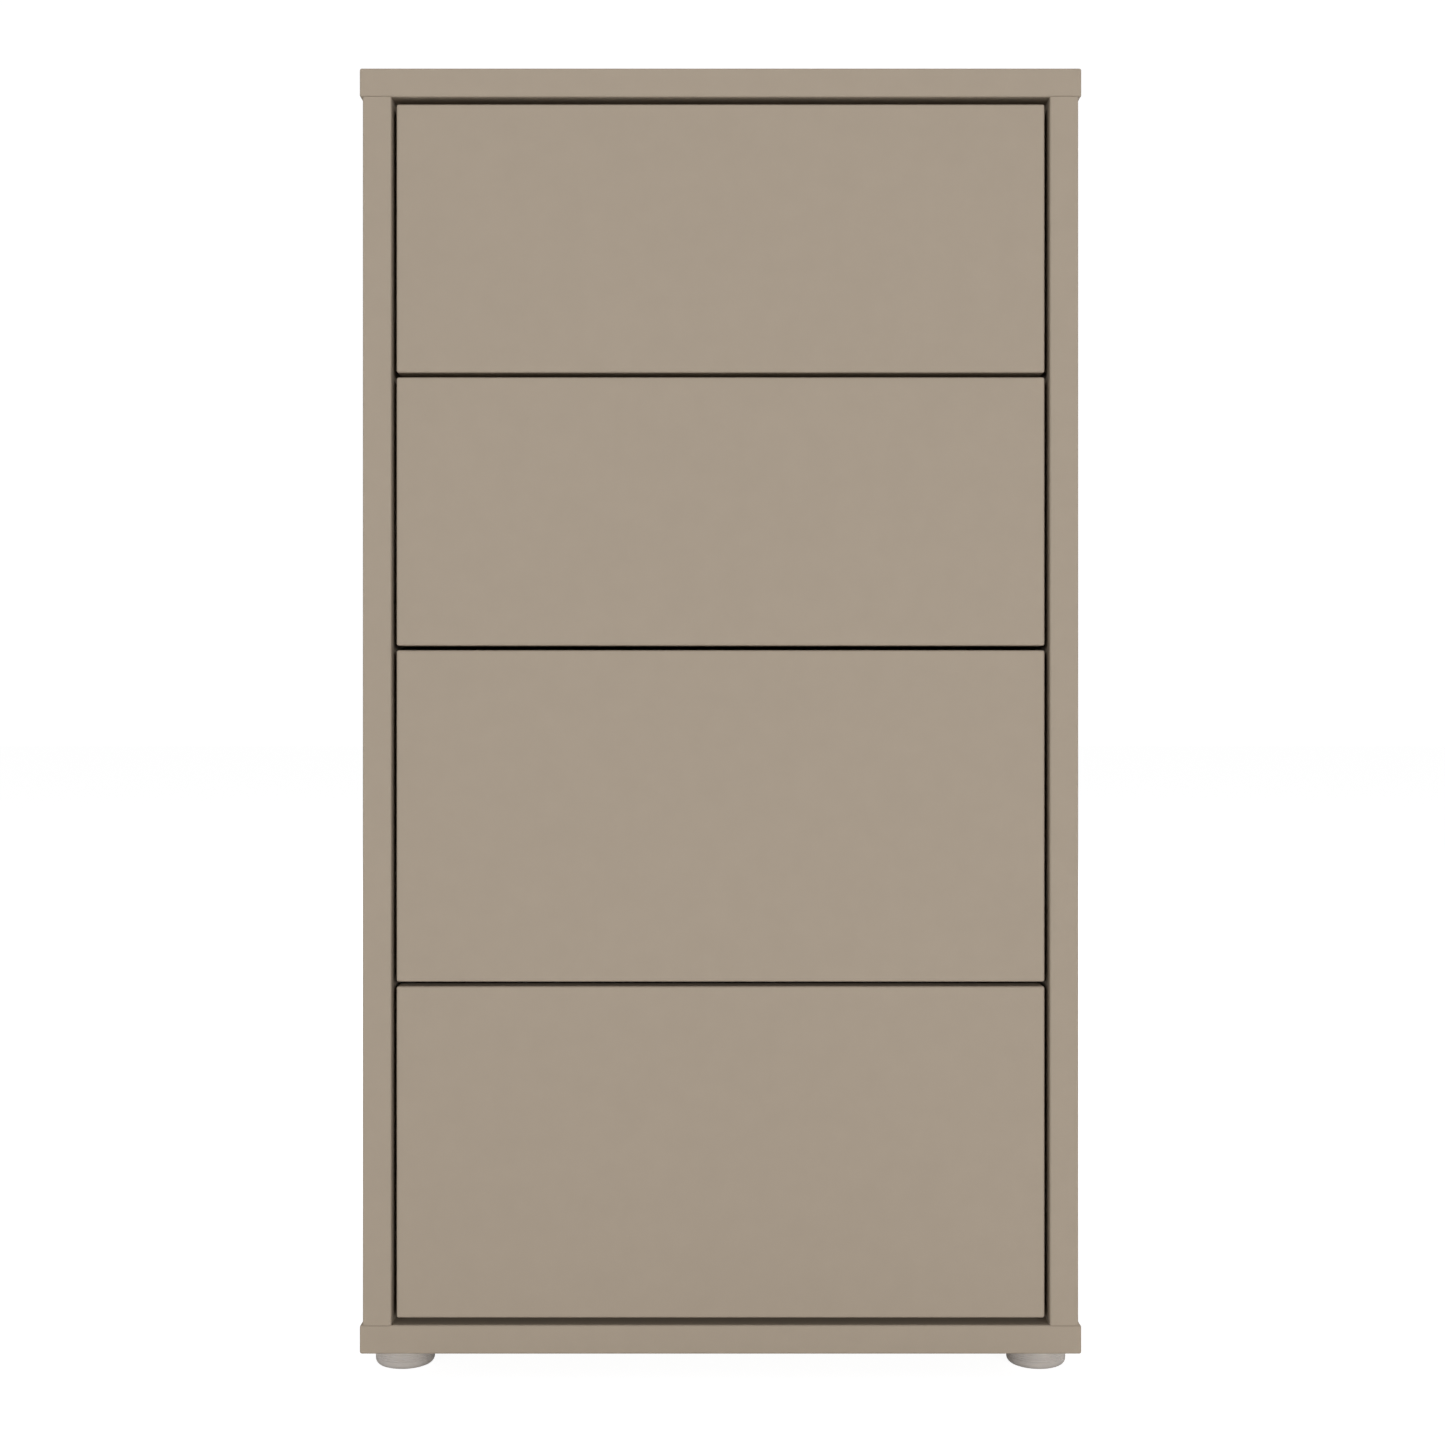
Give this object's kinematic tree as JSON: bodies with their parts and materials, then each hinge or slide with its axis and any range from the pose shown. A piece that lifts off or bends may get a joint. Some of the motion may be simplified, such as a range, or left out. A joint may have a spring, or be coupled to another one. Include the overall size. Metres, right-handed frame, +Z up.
{
  "type": "drawer cabinet",
  "caption": "Desk-side cabinet of matt boards on round feet, with handleless drawers that push to open and run on telescopic slides.",
  "frame": {"origin": "on the floor, under the middle of the cabinet's width and depth", "axes": "+Z up, along the cabinet's height; -Y is the front, the way the drawers open; +X is to the right of someone who faces the front"},
  "size_m": [0.402, 0.4, 0.73],
  "materials": {
    "board": "matt taupe foil over board, edges rounded",
    "back": "matt taupe lacquer on thin fibreboard",
    "drawer_box": "light grey linen-pattern foil over board",
    "drawer_bottom": "light grey lacquer on thin fibreboard",
    "steel": "zinc-plated, satin",
    "latch": "dark grey moulded plastic",
    "foot": "pale, slightly translucent moulded plastic"
  },
  "bodies": {
    "carcass": {"top_panel": "board", "bottom_panel": "board", "side_panel_left": "board", "side_panel_right": "board", "back_panel": "back", "foot_front_left": "foot", "foot_front_right": "foot", "foot_rear_left": "foot", "foot_rear_right": "foot", "slide_1_left_cabinet_member": "steel", "slide_1_right_cabinet_member": "steel", "push_latch_1": "latch", "slide_2_left_cabinet_member": "steel", "slide_2_right_cabinet_member": "steel", "push_latch_2": "latch", "slide_3_left_cabinet_member": "steel", "slide_3_right_cabinet_member": "steel", "push_latch_3": "latch", "slide_4_left_cabinet_member": "steel", "slide_4_right_cabinet_member": "steel", "push_latch_4": "latch"},
    "drawer_1": {"drawer_1_front": "board", "drawer_1_side_left": "drawer_box", "drawer_1_side_right": "drawer_box", "drawer_1_back": "drawer_box", "drawer_1_bottom": "drawer_bottom", "slide_1_left_drawer_member": "steel", "slide_1_right_drawer_member": "steel"},
    "slide_1_left": {"slide_1_left_middle_member": "steel"},
    "slide_1_right": {"slide_1_right_middle_member": "steel"},
    "drawer_2": {"drawer_2_front": "board", "drawer_2_side_left": "drawer_box", "drawer_2_side_right": "drawer_box", "drawer_2_back": "drawer_box", "drawer_2_bottom": "drawer_bottom", "slide_2_left_drawer_member": "steel", "slide_2_right_drawer_member": "steel"},
    "slide_2_left": {"slide_2_left_middle_member": "steel"},
    "slide_2_right": {"slide_2_right_middle_member": "steel"},
    "drawer_3": {"drawer_3_front": "board", "drawer_3_side_left": "drawer_box", "drawer_3_side_right": "drawer_box", "drawer_3_back": "drawer_box", "drawer_3_bottom": "drawer_bottom", "slide_3_left_drawer_member": "steel", "slide_3_right_drawer_member": "steel"},
    "slide_3_left": {"slide_3_left_middle_member": "steel"},
    "slide_3_right": {"slide_3_right_middle_member": "steel"},
    "drawer_4": {"drawer_4_front": "board", "drawer_4_side_left": "drawer_box", "drawer_4_side_right": "drawer_box", "drawer_4_back": "drawer_box", "drawer_4_bottom": "drawer_bottom", "slide_4_left_drawer_member": "steel", "slide_4_right_drawer_member": "steel"},
    "slide_4_left": {"slide_4_left_middle_member": "steel"},
    "slide_4_right": {"slide_4_right_middle_member": "steel"}
  },
  "joints": [
    {"name": "drawer_1_slide", "type": "slide", "parent": "carcass", "child": "drawer_1", "axis": [0, -1, 0], "range_m": [-0.003, 0.34]},
    {"name": "slide_1_left_middle", "type": "slide", "parent": "carcass", "child": "slide_1_left", "axis": [0, -1, 0], "range_m": [-0.0015, 0.17]},
    {"name": "slide_1_right_middle", "type": "slide", "parent": "carcass", "child": "slide_1_right", "axis": [0, -1, 0], "range_m": [-0.0015, 0.17]},
    {"name": "drawer_2_slide", "type": "slide", "parent": "carcass", "child": "drawer_2", "axis": [0, -1, 0], "range_m": [-0.003, 0.34]},
    {"name": "slide_2_left_middle", "type": "slide", "parent": "carcass", "child": "slide_2_left", "axis": [0, -1, 0], "range_m": [-0.0015, 0.17]},
    {"name": "slide_2_right_middle", "type": "slide", "parent": "carcass", "child": "slide_2_right", "axis": [0, -1, 0], "range_m": [-0.0015, 0.17]},
    {"name": "drawer_3_slide", "type": "slide", "parent": "carcass", "child": "drawer_3", "axis": [0, -1, 0], "range_m": [-0.003, 0.34]},
    {"name": "slide_3_left_middle", "type": "slide", "parent": "carcass", "child": "slide_3_left", "axis": [0, -1, 0], "range_m": [-0.0015, 0.17]},
    {"name": "slide_3_right_middle", "type": "slide", "parent": "carcass", "child": "slide_3_right", "axis": [0, -1, 0], "range_m": [-0.0015, 0.17]},
    {"name": "drawer_4_slide", "type": "slide", "parent": "carcass", "child": "drawer_4", "axis": [0, -1, 0], "range_m": [-0.003, 0.34]},
    {"name": "slide_4_left_middle", "type": "slide", "parent": "carcass", "child": "slide_4_left", "axis": [0, -1, 0], "range_m": [-0.0015, 0.17]},
    {"name": "slide_4_right_middle", "type": "slide", "parent": "carcass", "child": "slide_4_right", "axis": [0, -1, 0], "range_m": [-0.0015, 0.17]}
  ],
  "couplings": [
    {"joint": "slide_1_left_middle", "follows": "drawer_1_slide", "ratio": 0.5},
    {"joint": "slide_1_right_middle", "follows": "drawer_1_slide", "ratio": 0.5},
    {"joint": "slide_2_left_middle", "follows": "drawer_2_slide", "ratio": 0.5},
    {"joint": "slide_2_right_middle", "follows": "drawer_2_slide", "ratio": 0.5},
    {"joint": "slide_3_left_middle", "follows": "drawer_3_slide", "ratio": 0.5},
    {"joint": "slide_3_right_middle", "follows": "drawer_3_slide", "ratio": 0.5},
    {"joint": "slide_4_left_middle", "follows": "drawer_4_slide", "ratio": 0.5},
    {"joint": "slide_4_right_middle", "follows": "drawer_4_slide", "ratio": 0.5}
  ]
}
